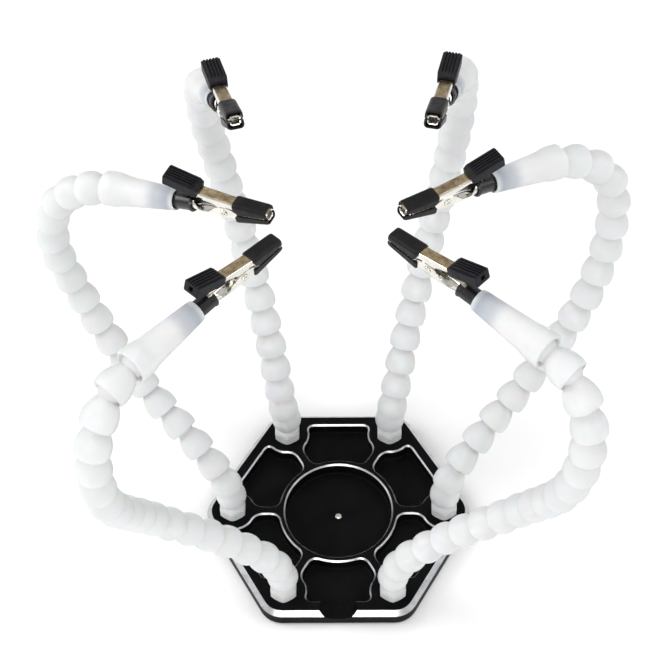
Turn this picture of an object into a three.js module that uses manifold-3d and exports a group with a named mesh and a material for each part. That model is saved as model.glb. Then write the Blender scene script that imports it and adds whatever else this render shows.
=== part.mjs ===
// Six-arm helping hands: a milled hexagonal base plate with six ball-and-socket hose arms,
// each ending in a sprung clip that swivels in its nozzle. Millimetres, +Z up, +Y to the back.
import * as THREE from "three";
import { mergeVertices } from "three/addons/utils/BufferGeometryUtils.js";
import Module from "manifold-3d";

const wasm = await Module();
wasm.setup();

// ---- base plate ----
const PLATE_BOTTOM = 1.3;
const PLATE_TOP = 11;
const PLATE_CORNER_RADIUS = 75; // centre to the sharp corner, before rounding
const PLATE_ROUNDING = 8;
const RIM_CHAMFER = 3.3;
const PAD_THICKNESS = 1;
const PAD_INSET = 5;
const TRAY_RADIUS = 30;
const TRAY_FLOOR = 3.2;
const POCKET_FLOOR = 4.2;
const POCKET_LIP = 0.8; // bright chamfer cut round each pocket
const POCKET_OUTER = 56.7; // centre to the pocket's outer side
const POCKET_INNER_RADIUS = 32.4;
const SPOKE_WALL = 5.2;
const BOSS_CIRCLE = 58.5; // centre to each arm's fitting
const BOSS_BITE = 12.5; // radius of land left round each fitting
const POCKET_TRIM = 3; // how far each pocket corner is cut back for its fillet
const SCOOP_WIDTH = 20;
const SCOOP_DEPTH = 5;
const SCREW_HEAD_RADIUS = 1.9;
const SCREW_SHANK_RADIUS = 1.1;

// ---- fitting and hose ----
const GAP = 0.3;
const STUD_RADIUS = 5;
const STUD_DEPTH = 6;
const HEX_RADIUS = 7.9;
const HEX_HEIGHT = 6.2;
const BALL_HEIGHT = 16; // first ball centre above the plate
const BALL_RADIUS = 6.2;
const CUP_RADIUS = 6.85;
const NECK_RADIUS = 4.4;
const PITCH = 14.7;
const BEAD_RADIUS = 8.2;
const RIM_DROP = 3.4; // the socket rim below its ball centre
const BEAD_SHOULDER = { radius: 6.2, z: 8.6 };
const BEADS = 18;
const LOWER_BEADS = 9;
const STRAIGHT_SHARE = 0.3; // a point that keeps the end of each route straight before its nozzle
const BEAD_SIDES = 7;

// ---- nozzle ----
const NOZZLE_LENGTH = 35; // last ball centre to the tip
const NOZZLE_TIP_RADIUS = 5.1;
const NOZZLE_BORE_RADIUS = 4.45;
const PLUG_RADIUS = 4;
const PLUG_INSIDE = 12.5;
const PLUG_OUTSIDE = 9.3;

// ---- clip, measured from the nozzle tip: x along the nozzle, z towards the lever ----
const CLIP_WIDTH = 6;
const SHEET = 0.6;
const PIVOT = { x: 26, z: -0.5 };
const PIN_RADIUS = 1.1;
const PIN_HEAD_RADIUS = 1.8;
const JAW_TIP = 48.5;
const SLEEVE_START = 32;
const SLEEVE_WALL = 0.6;
const EAR_WIDTH = 4.2;
const LEVER_FRONT = { x: 14.8, z: 9 };
const LEVER_BACK = { x: -0.5, z: 15 };
const LEVER_THICKNESS = 1.2;
const GRIP = { length: 17, width: 8.4, below: 1.8, above: 4.2 };

// Each arm: the direction of its boss, the curve its hose follows and the point its clip reaches.
const ARMS = [
  {
    name: "back_right",
    boss: 60,
    route: [[31, 49, 47], [37, 65, 81], [50, 92, 138], [58, 97, 190], [61, 92, 232], [60, 85, 256], [57, 70, 272]],
    reach: [42, 1, 312],
  },
  {
    name: "back_left",
    boss: 120,
    route: [[-31, 48, 47], [-37, 62, 91], [-48, 84, 142], [-57, 89, 192], [-62, 84, 236], [-61, 77, 258], [-57, 62, 274]],
    reach: [-39, -3, 317],
  },
  {
    name: "mid_right",
    boss: 0,
    route: [[61, 0, 46], [77, 13, 66], [100, 30, 91], [126, 44, 140], [136, 56, 184], [130, 58, 218], [107, 49, 237]],
    reach: [32, 4, 254],
  },
  {
    name: "mid_left",
    boss: 180,
    route: [[-61, -2, 46], [-77, 9, 68], [-101, 28, 90], [-127, 47, 134], [-139, 53, 178], [-131, 50, 211], [-109, 39, 232]],
    reach: [-29, 2, 254],
  },
  {
    name: "front_right",
    boss: -60,
    route: [[34, -54, 48], [57, -59, 82], [86, -70, 123], [104, -90, 176], [108, -91, 214], [104, -86, 234], [95, -76, 247]],
    reach: [33, -17, 253],
  },
  {
    name: "front_left",
    boss: -120,
    route: [[-34, -54, 48], [-56, -60, 80], [-86, -74, 124], [-100, -98, 178], [-101, -99, 212], [-97, -94, 232], [-88, -82, 246]],
    reach: [-31, -20, 252],
  },
];

const UP = new THREE.Vector3(0, 0, 1);

// ---- solids ----

function solid(geometry) {
  const bare = geometry.index ? geometry.toNonIndexed() : geometry.clone();
  bare.deleteAttribute("normal");
  bare.deleteAttribute("uv");
  const merged = mergeVertices(bare, 1e-4);
  const made = new wasm.Manifold(
    new wasm.Mesh({
      numProp: 3,
      vertProperties: merged.attributes.position.array,
      triVerts: new Uint32Array(merged.index.array),
    }),
  );
  if (made.volume() < 0) throw new Error("a profile runs the wrong way round");
  return made;
}

function joined(solids) {
  return solids.reduce((whole, piece) => whole.add(piece));
}

// A solid of revolution about +Z. Each point is [radius, height], listed from the bottom upwards.
function turned(points, sides) {
  const profile = points.map(([r, z]) => new THREE.Vector2(r, z));
  return solid(new THREE.LatheGeometry(profile, sides).rotateX(Math.PI / 2));
}

// A flat outline in the XY plane, raised from one height to another.
function raised(points, from, to) {
  const shape = new THREE.Shape(points.map(([x, y]) => new THREE.Vector2(x, y)));
  const geometry = new THREE.ExtrudeGeometry(shape, { depth: to - from, bevelEnabled: false });
  return solid(geometry.translate(0, 0, from));
}

// A side outline of the clip, given as [x, z], spread evenly over a width in Y.
function spread(points, width) {
  const shape = new THREE.Shape(points.map(([x, z]) => new THREE.Vector2(x, z)));
  const geometry = new THREE.ExtrudeGeometry(shape, { depth: width, bevelEnabled: false });
  return solid(geometry.rotateX(Math.PI / 2).translate(0, width / 2, 0));
}

function box(size, centre) {
  return solid(new THREE.BoxGeometry(...size).translate(...centre));
}

// A cylinder along X, Y or Z between two positions on that axis.
function rod(axis, radius, from, to, sides) {
  const geometry = new THREE.CylinderGeometry(radius, radius, to - from, sides);
  geometry.translate(0, (from + to) / 2, 0);
  if (axis === "x") geometry.rotateZ(-Math.PI / 2);
  if (axis === "z") geometry.rotateX(Math.PI / 2);
  return solid(geometry);
}

// Moves a solid built at the origin into a frame.
function placed(piece, frame) {
  return piece.transform(frame.elements);
}

function hexagon(radius) {
  return Array.from({ length: 6 }, (_, k) => {
    const angle = (k * Math.PI) / 3;
    return new THREE.Vector2(radius * Math.cos(angle), radius * Math.sin(angle));
  });
}

// Samples the sides of an outline, cutting each back by trim and rounding the corners between them.
function filleted(sides, trim, cornerSteps) {
  const points = [];
  sides.forEach((side, i) => {
    const next = sides[(i + 1) % sides.length];
    const cut = trim / side.length;
    for (let k = 0; k <= side.steps; k++) {
      points.push(side.at(cut + ((1 - 2 * cut) * k) / side.steps));
    }
    const corner = side.at(1);
    const bend = new THREE.QuadraticBezierCurve(side.at(1 - cut), corner, next.at(trim / next.length));
    for (let k = 1; k < cornerSteps; k++) points.push(bend.getPoint(k / cornerSteps));
  });
  return points;
}

function straightSide(from, to) {
  return { length: from.distanceTo(to), steps: 1, at: (t) => from.clone().lerp(to, t) };
}

function arcSide(centre, radius, from, to, steps) {
  const at = (t) => {
    const angle = from + (to - from) * t;
    return new THREE.Vector2(centre.x + radius * Math.cos(angle), centre.y + radius * Math.sin(angle));
  };
  return { length: radius * Math.abs(to - from), steps, at };
}

// ---- base ----

function hexPlate(radius, rounding, bottom, top, chamfer) {
  const corners = hexagon(radius);
  const sides = corners.map((corner, k) => straightSide(corner, corners[(k + 1) % 6]));
  const outline = filleted(sides, rounding, 4);
  if (!chamfer) return raised(outline.map((p) => [p.x, p.y]), bottom, top);
  const shape = new THREE.Shape(outline);
  const geometry = new THREE.ExtrudeGeometry(shape, {
    depth: top - bottom,
    bevelSize: chamfer,
    bevelOffset: -chamfer,
    bevelThickness: chamfer,
    bevelSegments: 1,
  });
  const span = 2 * radius;
  const below = box([span, span, span], [0, 0, bottom - span / 2]);
  return solid(geometry.translate(0, 0, bottom - chamfer)).subtract(below);
}

// One pocket's outline beside the plate's back side, with a bite for the fitting on each side.
function pocketOutline() {
  const half = Math.PI / 6;
  const boss = new THREE.Vector2(BOSS_CIRCLE * Math.sin(half), BOSS_CIRCLE * Math.cos(half));
  const wall = SPOKE_WALL / 2;
  const onSpoke = (along) =>
    new THREE.Vector2(
      along * Math.sin(half) - wall * Math.cos(half),
      along * Math.cos(half) + wall * Math.sin(half),
    );
  const biteStart = onSpoke(BOSS_CIRCLE - Math.sqrt(BOSS_BITE ** 2 - wall ** 2));
  const inner = onSpoke(Math.sqrt(POCKET_INNER_RADIUS ** 2 - wall ** 2));
  const outerX = boss.x - Math.sqrt(BOSS_BITE ** 2 - (POCKET_OUTER - boss.y) ** 2);
  const outer = new THREE.Vector2(outerX, POCKET_OUTER);
  const biteFrom = Math.atan2(biteStart.y - boss.y, biteStart.x - boss.x) + 2 * Math.PI;
  const biteTo = Math.atan2(outer.y - boss.y, outer.x - boss.x);
  const mirror = (p) => new THREE.Vector2(-p.x, p.y);
  const leftBoss = mirror(boss);
  const innerAngle = Math.atan2(inner.y, inner.x);
  return filleted(
    [
      straightSide(inner, biteStart),
      arcSide(boss, BOSS_BITE, biteFrom, biteTo, 3),
      straightSide(outer, mirror(outer)),
      arcSide(leftBoss, BOSS_BITE, Math.PI - biteTo, Math.PI - biteFrom, 3),
      straightSide(mirror(biteStart), mirror(inner)),
      arcSide(new THREE.Vector2(), POCKET_INNER_RADIUS, Math.PI - innerAngle, innerAngle, 6),
    ],
    POCKET_TRIM,
    3,
  );
}

function pocketCutter() {
  const outline = pocketOutline();
  const well = raised(outline.map((p) => [p.x, p.y]), POCKET_FLOOR, PLATE_TOP);
  const lip = new THREE.ExtrudeGeometry(new THREE.Shape(outline), {
    depth: POCKET_LIP,
    bevelSize: POCKET_LIP,
    bevelThickness: POCKET_LIP,
    bevelSegments: 1,
  });
  return well.add(solid(lip.translate(0, 0, PLATE_TOP)));
}

function basePlate() {
  let plate = hexPlate(PLATE_CORNER_RADIUS, PLATE_ROUNDING, PLATE_BOTTOM, PLATE_TOP, RIM_CHAMFER);
  const above = PLATE_TOP + POCKET_LIP;
  const tray = turned(
    [
      [0, TRAY_FLOOR],
      [TRAY_RADIUS, TRAY_FLOOR],
      [TRAY_RADIUS, PLATE_TOP - POCKET_LIP],
      [TRAY_RADIUS + 2 * POCKET_LIP, above],
      [0, above],
    ],
    36,
  );
  plate = plate.subtract(tray);
  const pocket = pocketCutter();
  for (let k = 0; k < 6; k++) plate = plate.subtract(pocket.rotate([0, 0, 60 * k]));
  const studHole = rod("z", STUD_RADIUS + 2 * GAP, PLATE_TOP - STUD_DEPTH - GAP, above, 12);
  for (const arm of ARMS) {
    const { x, y } = bossCentre(arm);
    plate = plate.subtract(studHole.translate([x, y, 0]));
  }
  const scoopRadius = ((SCOOP_WIDTH / 2) ** 2 + SCOOP_DEPTH ** 2) / (2 * SCOOP_DEPTH);
  const scoop = rod("y", scoopRadius, -PLATE_CORNER_RADIUS, -TRAY_RADIUS - 12, 36);
  plate = plate.subtract(scoop.translate([0, 0, PLATE_TOP - SCOOP_DEPTH + scoopRadius]));
  return plate.subtract(rod("z", SCREW_SHANK_RADIUS + GAP, 0, above, 12));
}

function footPad() {
  return hexPlate(PLATE_CORNER_RADIUS - PAD_INSET, PLATE_ROUNDING, 0, PAD_THICKNESS);
}

function centreScrew() {
  const head = TRAY_FLOOR + GAP;
  const screw = turned(
    [
      [0, PLATE_BOTTOM + GAP],
      [SCREW_SHANK_RADIUS, PLATE_BOTTOM + GAP],
      [SCREW_SHANK_RADIUS, head],
      [SCREW_HEAD_RADIUS, head],
      [SCREW_HEAD_RADIUS * 0.8, head + 0.9],
      [0, head + 0.9],
    ],
    16,
  );
  return screw.subtract(rod("z", 0.8, head + 0.3, head + 2, 6));
}

// ---- hose pieces, each turned about +Z with a ball centre at the origin ----

function ball() {
  return solid(new THREE.SphereGeometry(BALL_RADIUS, 10, 5).rotateX(Math.PI / 2));
}

// The space inside a socket: a little larger than the ball, flaring out at the rim.
function cup() {
  const rimZ = -2.4;
  const points = [[0, -RIM_DROP - 1]];
  points.push([7.3, -RIM_DROP - 1]);
  const steps = 4;
  const start = Math.asin(rimZ / CUP_RADIUS);
  for (let k = 0; k < steps; k++) {
    const angle = start + ((Math.PI / 2 - start) * k) / steps;
    points.push([CUP_RADIUS * Math.cos(angle), CUP_RADIUS * Math.sin(angle)]);
  }
  points.push([0, CUP_RADIUS]);
  return turned(points, 12);
}

// A bead from its own ball centre up to just short of the next one.
function bead() {
  return turned(
    [
      [0, -RIM_DROP],
      [BEAD_RADIUS, -RIM_DROP],
      [BEAD_SHOULDER.radius, BEAD_SHOULDER.z],
      [NECK_RADIUS, PITCH - 1.6],
      [0, PITCH - 1.6],
    ],
    BEAD_SIDES,
  );
}

function fitting() {
  const top = PLATE_TOP + GAP;
  const ballZ = PLATE_TOP + BALL_HEIGHT;
  const hexTop = top + HEX_HEIGHT;
  const nut = solid(
    new THREE.CylinderGeometry(HEX_RADIUS, HEX_RADIUS, HEX_HEIGHT, 6)
      .rotateX(Math.PI / 2)
      .translate(0, 0, top + HEX_HEIGHT / 2),
  );
  const body = turned(
    [
      [0, PLATE_TOP - STUD_DEPTH],
      [STUD_RADIUS, PLATE_TOP - STUD_DEPTH],
      [STUD_RADIUS, hexTop - 1],
      [6.6, hexTop - 1],
      [6.6, hexTop],
      [NECK_RADIUS, hexTop + 1.8],
      [NECK_RADIUS, ballZ],
      [0, ballZ],
    ],
    12,
  );
  return joined([nut, body, ball().translate([0, 0, ballZ])]);
}

function nozzle() {
  const body = turned(
    [
      [0, -RIM_DROP],
      [BEAD_RADIUS, -RIM_DROP],
      [BEAD_RADIUS, 3],
      [7, 8],
      [NOZZLE_TIP_RADIUS, NOZZLE_LENGTH],
      [0, NOZZLE_LENGTH],
    ],
    12,
  );
  const bore = rod("z", NOZZLE_BORE_RADIUS, NOZZLE_LENGTH - PLUG_INSIDE - 2 * GAP, NOZZLE_LENGTH + 1, 12);
  return body.subtract(cup()).subtract(bore);
}

// ---- clip pieces ----

function fixedJaw() {
  const side = [
    [15, -3], [21, -3.6], [33, -4.2], [JAW_TIP, -2.6], [JAW_TIP, -0.3], [33, -0.3],
    [31.5, 1.2], [28.5, 2.2], [24, 2.2], [21, 0.6], [17, -1.4], [15, -1.6],
  ];
  const hollow = [
    [14, -2.4], [21, -3], [33, -3.6], [JAW_TIP - SHEET, -2], [JAW_TIP - SHEET, 5], [14, 5],
  ];
  const channel = spread(side, CLIP_WIDTH).subtract(spread(hollow, CLIP_WIDTH - 2 * SHEET));
  const barrel = rod("x", 2.95, 8, 16.5, 12)
    .subtract(rod("x", 2.35, 9.6, 17, 12))
    .subtract(box([10, 10, 6], [16.5, 0, 2]));
  const plug = rod("x", PLUG_RADIUS, -PLUG_INSIDE, PLUG_OUTSIDE, 12);
  const pin = rod("y", PIN_RADIUS, -3.3, 3.3, 8);
  const heads = [-1, 1].map((turn) => rod("y", PIN_HEAD_RADIUS, 2.9, 3.6, 8).rotate([0, 0, turn > 0 ? 0 : 180]));
  const rivet = joined([pin, ...heads]).translate([PIVOT.x, 0, PIVOT.z]);
  return joined([channel, barrel, plug, rivet]);
}

function movingJaw() {
  const side = [
    [JAW_TIP, 0.3], [JAW_TIP, 2.8], [34, 4.7], [LEVER_FRONT.x, LEVER_FRONT.z], [LEVER_BACK.x, LEVER_BACK.z],
    [LEVER_BACK.x, LEVER_BACK.z - LEVER_THICKNESS], [LEVER_FRONT.x, LEVER_FRONT.z - LEVER_THICKNESS],
    [20, 5.2], [24, 2.9], [29, 2.9], [32.2, 2], [33, 0.3],
  ];
  const hollow = [
    [JAW_TIP - SHEET, -1], [JAW_TIP - SHEET, 2.2], [34, 4.1], [17, 7.9], [17, -1],
  ];
  const channel = spread(side, CLIP_WIDTH).subtract(spread(hollow, CLIP_WIDTH - 2 * SHEET));
  const ear = [
    [29.4, 5.4], [29.2, 0], [27.8, -2.1], [25.4, -2.6], [23.2, -1.2], [22.6, 1], [22.6, 6.9],
  ];
  const ears = spread(ear, EAR_WIDTH).subtract(spread(hollow, EAR_WIDTH - 2 * SHEET));
  const pinHole = rod("y", PIN_RADIUS + GAP, -CLIP_WIDTH, CLIP_WIDTH, 12);
  return channel.add(ears).subtract(pinHole.translate([PIVOT.x, 0, PIVOT.z]));
}

function fixedSleeve() {
  const outer = [[SLEEVE_START, -5.2], [JAW_TIP, -3.6], [JAW_TIP, -0.35], [SLEEVE_START + 1, -0.35], [SLEEVE_START, -1.4]];
  const inner = [[SLEEVE_START - 1, -4.5], [JAW_TIP + 1, -2.8], [JAW_TIP + 1, 1], [SLEEVE_START - 1, 1]];
  const width = CLIP_WIDTH + 2 * GAP;
  return spread(outer, width + 2 * SLEEVE_WALL).subtract(spread(inner, width));
}

function movingSleeve() {
  const outer = [[JAW_TIP, 0.35], [JAW_TIP, 3.8], [SLEEVE_START + 1, 5.8], [SLEEVE_START, 3], [SLEEVE_START + 2, 0.35]];
  const inner = [[JAW_TIP + 1, -1], [JAW_TIP + 1, 3], [34, 5.02], [SLEEVE_START - 1, 5.7], [SLEEVE_START - 1, -1]];
  const width = CLIP_WIDTH + 2 * GAP;
  return spread(outer, width + 2 * SLEEVE_WALL).subtract(spread(inner, width));
}

function tailGrip() {
  const along = new THREE.Vector2(LEVER_BACK.x - LEVER_FRONT.x, LEVER_BACK.z - LEVER_FRONT.z);
  const reach = along.length();
  const slope = Math.atan2(along.y, -along.x);
  const overhang = GRIP.length - reach;
  const height = GRIP.above + GRIP.below;
  const body = box([GRIP.length, GRIP.width, height], [GRIP.length / 2, 0, (GRIP.above - GRIP.below) / 2]);
  const slot = box(
    [GRIP.length + 2, CLIP_WIDTH + 2 * GAP, LEVER_THICKNESS + 2 * GAP],
    [GRIP.length / 2, 0, 0],
  );
  const middle = { x: LEVER_BACK.x, z: LEVER_BACK.z - LEVER_THICKNESS / 2 };
  return body
    .subtract(slot)
    .translate([-overhang, 0, 0])
    .rotate([0, (slope * 180) / Math.PI, 0])
    .translate([middle.x, 0, middle.z]);
}

// ---- arms ----

function bossCentre(arm) {
  const angle = THREE.MathUtils.degToRad(arm.boss);
  return new THREE.Vector3(BOSS_CIRCLE * Math.cos(angle), BOSS_CIRCLE * Math.sin(angle), 0);
}

// The ball centres of an arm, one pitch apart along its route.
function ballCentres(arm) {
  const first = bossCentre(arm).setZ(PLATE_TOP + BALL_HEIGHT);
  const route = arm.route.map((p) => new THREE.Vector3(...p));
  const reach = new THREE.Vector3(...arm.reach);
  const straight = route.at(-1).clone().lerp(reach, STRAIGHT_SHARE);
  const points = [first, ...route, straight, reach];
  const curve = new THREE.CatmullRomCurve3(points, false, "centripetal");
  curve.arcLengthDivisions = 800;
  const length = curve.getLength();
  return Array.from({ length: BEADS + 1 }, (_, i) => curve.getPointAt((i * PITCH) / length));
}

// A frame at a point with its Z axis along a direction.
function frameAlong(origin, direction) {
  const turn = new THREE.Quaternion().setFromUnitVectors(UP, direction.clone().normalize());
  return new THREE.Matrix4().compose(origin, turn, new THREE.Vector3(1, 1, 1));
}

// The clip's frame at the nozzle tip: X along the nozzle, Z as near upwards as it can be.
function clipFrame(origin, direction) {
  const x = direction.clone().normalize();
  const y = UP.clone().cross(x).normalize();
  const z = x.clone().cross(y);
  return new THREE.Matrix4().makeBasis(x, y, z).setPosition(origin);
}

function hoseRun(centres, first, last) {
  const one = bead();
  const beads = [];
  for (let i = first; i < last; i++) {
    const along = centres[i + 1].clone().sub(centres[i]);
    beads.push(placed(one, frameAlong(centres[i], along)));
  }
  const startAlong = centres[first + 1].clone().sub(centres[first]);
  const opening = placed(cup(), frameAlong(centres[first], startAlong));
  const endBall = placed(ball(), frameAlong(centres[last], centres[last].clone().sub(centres[last - 1])));
  const endNeck = centres[last].clone().sub(centres[last - 1]);
  const neck = placed(rod("z", NECK_RADIUS, 9, PITCH - 1, BEAD_SIDES), frameAlong(centres[last - 1], endNeck));
  return joined([...beads, neck, endBall]).subtract(opening);
}

export function armFrames(arm) {
  const centres = ballCentres(arm);
  const direction = new THREE.Vector3(...arm.reach).sub(centres[BEADS]).normalize();
  const tip = centres[BEADS].clone().addScaledVector(direction, NOZZLE_LENGTH);
  return { centres, direction, tip, clip: clipFrame(tip, direction) };
}

// ---- colours ----

const LOOK = {
  plate: { color: 0x16171a, roughness: 0.38, metalness: 0.8 },
  rubber: { color: 0x1d1d1d, roughness: 0.9, metalness: 0 },
  steel: { color: 0xd2d2cd, roughness: 0.25, metalness: 1 },
  frosted: { color: 0xeef0f2, roughness: 0.45, metalness: 0 },
  sleeve: { color: 0x17171b, roughness: 0.6, metalness: 0 },
};

const group = new THREE.Group();

function addNode(name, piece, look) {
  const made = piece.getMesh();
  const geometry = new THREE.BufferGeometry();
  geometry.setAttribute("position", new THREE.BufferAttribute(made.vertProperties, 3));
  geometry.setIndex(new THREE.BufferAttribute(made.triVerts, 1));
  geometry.computeVertexNormals();
  const mesh = new THREE.Mesh(geometry, new THREE.MeshStandardMaterial(LOOK[look]));
  mesh.name = name;
  group.add(mesh);
}

addNode("base_plate", basePlate(), "plate");
addNode("foot_pad", footPad(), "rubber");
addNode("centre_screw", centreScrew(), "steel");

export const arms = ARMS;

for (const arm of ARMS) {
  const { centres, direction, clip } = armFrames(arm);
  const fittingTurn = new THREE.Matrix4().makeTranslation(bossCentre(arm));
  addNode(`fitting_${arm.name}`, placed(fitting(), fittingTurn), "frosted");
  addNode(`hose_lower_${arm.name}`, hoseRun(centres, 0, LOWER_BEADS), "frosted");
  addNode(`hose_upper_${arm.name}`, hoseRun(centres, LOWER_BEADS, BEADS), "frosted");
  addNode(`nozzle_${arm.name}`, placed(nozzle(), frameAlong(centres[BEADS], direction)), "frosted");
  addNode(`fixed_jaw_${arm.name}`, placed(fixedJaw(), clip), "steel");
  addNode(`moving_jaw_${arm.name}`, placed(movingJaw(), clip), "steel");
  addNode(`fixed_sleeve_${arm.name}`, placed(fixedSleeve(), clip), "sleeve");
  addNode(`moving_sleeve_${arm.name}`, placed(movingSleeve(), clip), "sleeve");
  addNode(`tail_grip_${arm.name}`, placed(tailGrip(), clip), "sleeve");
}

export default group;
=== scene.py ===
# Six-arm helping hands: the visible surfaces of every piece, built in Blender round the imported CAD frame.
# Shapes are worked out in millimetres in the CAD's own frame and turned into metres when a mesh is made.
import math

import bmesh
import bpy
from mathutils import Matrix, Vector


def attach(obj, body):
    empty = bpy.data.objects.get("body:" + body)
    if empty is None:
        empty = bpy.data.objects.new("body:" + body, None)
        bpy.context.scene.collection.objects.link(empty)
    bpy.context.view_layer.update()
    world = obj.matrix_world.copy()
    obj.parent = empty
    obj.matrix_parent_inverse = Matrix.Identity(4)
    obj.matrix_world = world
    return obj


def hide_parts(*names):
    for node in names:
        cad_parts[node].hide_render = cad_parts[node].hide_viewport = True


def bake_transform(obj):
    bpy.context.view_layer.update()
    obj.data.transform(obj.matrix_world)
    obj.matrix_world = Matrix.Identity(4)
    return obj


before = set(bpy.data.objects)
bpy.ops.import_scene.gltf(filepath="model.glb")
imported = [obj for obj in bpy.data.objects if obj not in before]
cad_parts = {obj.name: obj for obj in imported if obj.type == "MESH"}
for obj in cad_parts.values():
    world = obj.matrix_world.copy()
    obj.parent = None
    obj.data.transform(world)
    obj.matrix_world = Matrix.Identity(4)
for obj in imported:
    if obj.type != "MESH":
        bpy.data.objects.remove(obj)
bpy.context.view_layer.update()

MM = 0.001
MERGE_DISTANCE = 0.004  # in millimetres: points closer than this become one
SHORTEST_EDGE = 0.002

# ---- base plate ----
PLATE_BOTTOM = 1.3
PLATE_TOP = 11
PLATE_CORNER_RADIUS = 75  # centre to the sharp corner, before rounding
PLATE_ROUNDING = 8
RIM_CHAMFER = 2.6
BOTTOM_CHAMFER = 0.5
PAD_INSET = 5
TRAY_RADIUS = 29.6
TRAY_FLOOR = 3.2
POCKET_FLOOR = 4.2
CUT_LIP = 0.8  # the bright chamfer cut round the tray and the pockets
FLOOR_FILLET = 1.0
POCKET_OUTER = 56.7
POCKET_INNER_RADIUS = 33
SPOKE_WALL = 5.2
BOSS_CIRCLE = 58.5
BOSS_BITE = 12.5
POCKET_TRIM = 5
SCOOP_WIDTH = 20
SCOOP_DEPTH = 5
SCOOP_END = -42  # the scoop runs in from the front edge to this Y
SCOOP_RADIUS = ((SCOOP_WIDTH / 2) ** 2 + SCOOP_DEPTH ** 2) / (2 * SCOOP_DEPTH)
SCOOP_HEIGHT = PLATE_TOP - SCOOP_DEPTH + SCOOP_RADIUS  # of the scoop's own axis
SCOOP_MARGIN = 0.1
STUD_HOLE_RADIUS = 5.6
STUD_HOLE_FLOOR = 4.7
SCREW_HOLE_RADIUS = 1.4
SCREW_SOCKET_RADIUS = 0.85
CHAMFER_SLOPE = (0.3, 0.95)  # the least and greatest upward part of a cut chamfer's normal

# ---- fitting, hose and nozzle ----
GAP = 0.3
BALL_HEIGHT = 16
BALL_RADIUS = 6.2
CUP_RADIUS = 6.85
CUP_LOW_ANGLE = -20  # degrees
CUP_RIM_RADIUS = 6.95
BORE_RADIUS = 2.6
BORE_END = 6.6  # where the bore opens into the socket
MOUTH_FLARE = 0.2  # how much wider the bore is at the top of a ball
MOUTH_HEIGHT = 5  # above the ball's centre, where that widening ends
NECK_RADIUS = 4.4
PITCH = 14.7
BEAD_RADIUS = 8.2
RIM_DROP = 3.4
BEADS = 18
LOWER_BEADS = 9
STRAIGHT_SHARE = 0.3  # the part of the way from a route's last point to its clip that is still curved
CURVE_STEPS = 800
HEX_RADIUS = 7.9
HEX_CORNER = 7.7  # the nut's corners are rounded off at this radius
HEX_HEIGHT = 6.2
STUD_BOTTOM = 5
NOZZLE_LENGTH = 35
TURNED_SIDES = 36

# ---- clip, in its own frame: x along the nozzle from its tip, z towards the lever ----
SHEET = 0.5  # thickness of the jaws' sheet metal
SLEEVE_WALL = 0.6
BARREL_START = 4.5
TAIL_START = 2
JAW_END = 48.3
SLEEVE_START = 32
SLEEVE_END = 48.5
PIVOT = Vector((26, 0, -0.5))
TOOTH_PITCH = 1.5
TOOTH_DEPTH = 0.8
TEETH_START = 33.5
TEETH_END = 47.2
LEVER_SLOPE = math.atan2(6, 15.3)
GRIP_ORIGIN = Vector((-0.5, 0, 14.4))
GRIP_OVERHANG = 0.57
GRIP_HALF_WIDTH = 4.2
GRIP_MIDDLE = 1.2  # the height towards which its ends shrink
GRIP_RIBS = 5
RIB_PITCH = 1.42
RIB_HALF_FOOT = 0.5
RIB_HALF_CREST = 0.36
RIB_GROOVE = 3.35  # height of the grooves between the ribs
RIB_TOP = 4.2  # height of the ribs' tops
EAR_INSIDE = 1.97  # the moving jaw's ears lie against the inside of the fixed jaw
EAR_OUTSIDE = 2.47
EAR_STRIP = (2.4, 2.62)  # across, the strip that joins an ear to the jaw's wall
UPWARD = 0.8  # the least upward part of the normal of a face on the moving jaw that gets the nickel's painted shade

# ---- looks ----
COLOUR_STOPS = (0.32, 0.68)  # where a material's noise turns from its first colour to its second
ROUGHNESS_SPAN = (0.3, 0.7)  # the noise values that give the first and second roughness
ROUGHNESS_SCALE = 0.6  # size of the roughness features against the colour's
RELIEF_HEIGHT = 0.1
# How strongly the plug's painted shade, seen through the plastic, darkens the nozzle's colour, at shares of
# the nozzle's length.
PLUG_SHADOW = ((0.54, 0), (0.76, 0.55), (0.91, 0.8), (0.98, 0.1))
PLUG_SHADOW_COLOUR = (0.46, 0.50, 0.58)

# ---- stage: places and lights in metres, the floor, lens and sensor in millimetres ----
FLOOR_REACH = 12000
FLOOR_DEPTH = 20
WORLD_STRENGTH = 0.6
CAMERA_TARGET = (-0.00175, 0, 0.1729)
CAMERA_BACK = (0.0136, -0.6133, 0.7897)  # from the target towards the camera
CAMERA_DISTANCE = 0.771
CAMERA_LENS = 88.0
CAMERA_SENSOR = 36
CAMERA_ROLL = -1.33  # degrees
LIGHT_TARGET = (0, 0, 0.12)
# Each light: its place, width, height and power.
SOFTBOXES = {
    "front_softbox": ((-0.2, -1.5, 0.9), 1.2, 0.7, 12),
    "left_softbox": ((-1.4, 0.2, 1.1), 0.9, 0.9, 12),
    "right_softbox": ((1.4, -0.1, 1.1), 0.9, 0.9, 6),
    "top_softbox": ((0, 0.1, 1.9), 1.0, 1.0, 8),
}

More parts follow.
